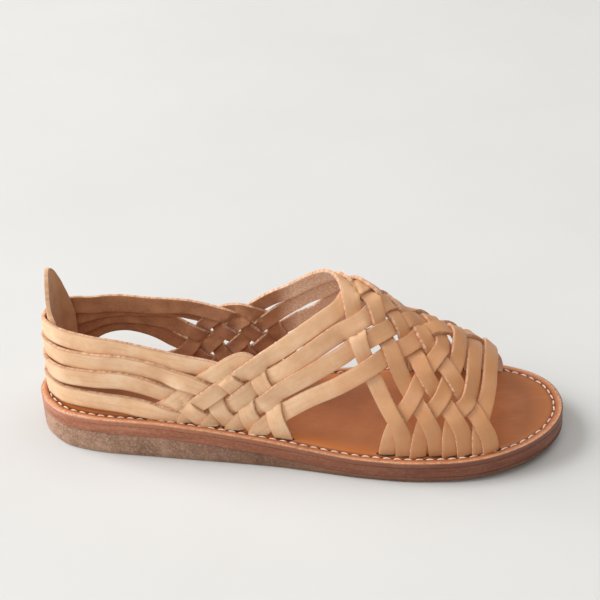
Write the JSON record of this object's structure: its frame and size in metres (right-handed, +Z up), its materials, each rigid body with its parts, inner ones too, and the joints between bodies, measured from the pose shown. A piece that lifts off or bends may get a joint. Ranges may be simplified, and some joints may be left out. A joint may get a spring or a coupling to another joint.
{
  "type": "woven leather sandal",
  "caption": "Right huarache sandal of woven natural leather straps with a heel tab, on a low stitched leather sole.",
  "frame": {"origin": "on the floor under the middle of the sole's bounding box", "axes": "+X towards the toe, +Y towards the inner side of the foot, +Z up"},
  "size_m": [0.258, 0.0888, 0.0844],
  "materials": {
    "outsole": "matte, dusty",
    "midsole": "burnished",
    "insole": "polished",
    "upper": "natural",
    "heel_tab": "suede"
  },
  "bodies": {
    "root": {"outsole": "outsole", "midsole": "midsole", "insole": "insole", "upper": "upper", "heel_tab": "heel_tab"}
  },
  "joints": []
}
